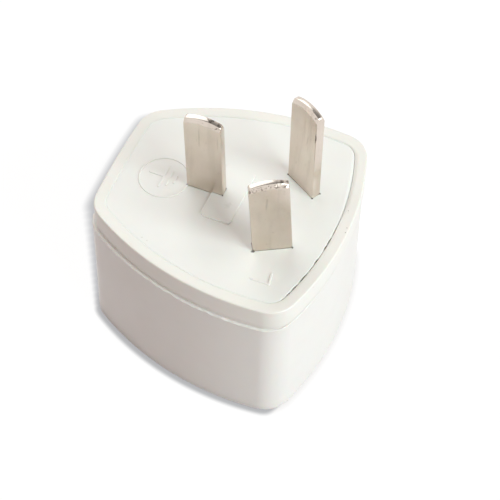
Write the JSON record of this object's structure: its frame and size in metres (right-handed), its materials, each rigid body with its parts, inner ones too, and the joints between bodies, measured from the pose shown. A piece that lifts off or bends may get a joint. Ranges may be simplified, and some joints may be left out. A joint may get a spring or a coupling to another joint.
{
  "type": "travel adapter",
  "caption": "Small white plug adapter with a kite-shaped body: slanted flat blades and an earth blade on top, and a universal socket face underneath.",
  "frame": {"origin": "middle of the body's footprint, on the socket face", "axes": "+Z from the socket face to the blades, +Y towards the narrow end and the earth blade, +X towards the neutral blade"},
  "size_m": [0.0399, 0.0411, 0.0453],
  "materials": {
    "body_plastic": "satin moulded",
    "frame_plastic": "satin moulded",
    "plate_plastic": "satin moulded",
    "blade_metal": "worn nickel plating",
    "contact_metal": "bright pressed strip",
    "rivet_metal": "bright"
  },
  "bodies": {
    "root": {"socket_housing": "body_plastic", "collar_frame": "frame_plastic", "pin_plate": "plate_plastic", "earth_blade": "blade_metal", "line_blade": "blade_metal", "neutral_blade": "blade_metal", "earth_contact": "contact_metal", "line_contact": "contact_metal", "neutral_contact": "contact_metal", "earth_rivet": "rivet_metal", "line_rivet": "rivet_metal", "neutral_rivet": "rivet_metal"}
  },
  "joints": []
}
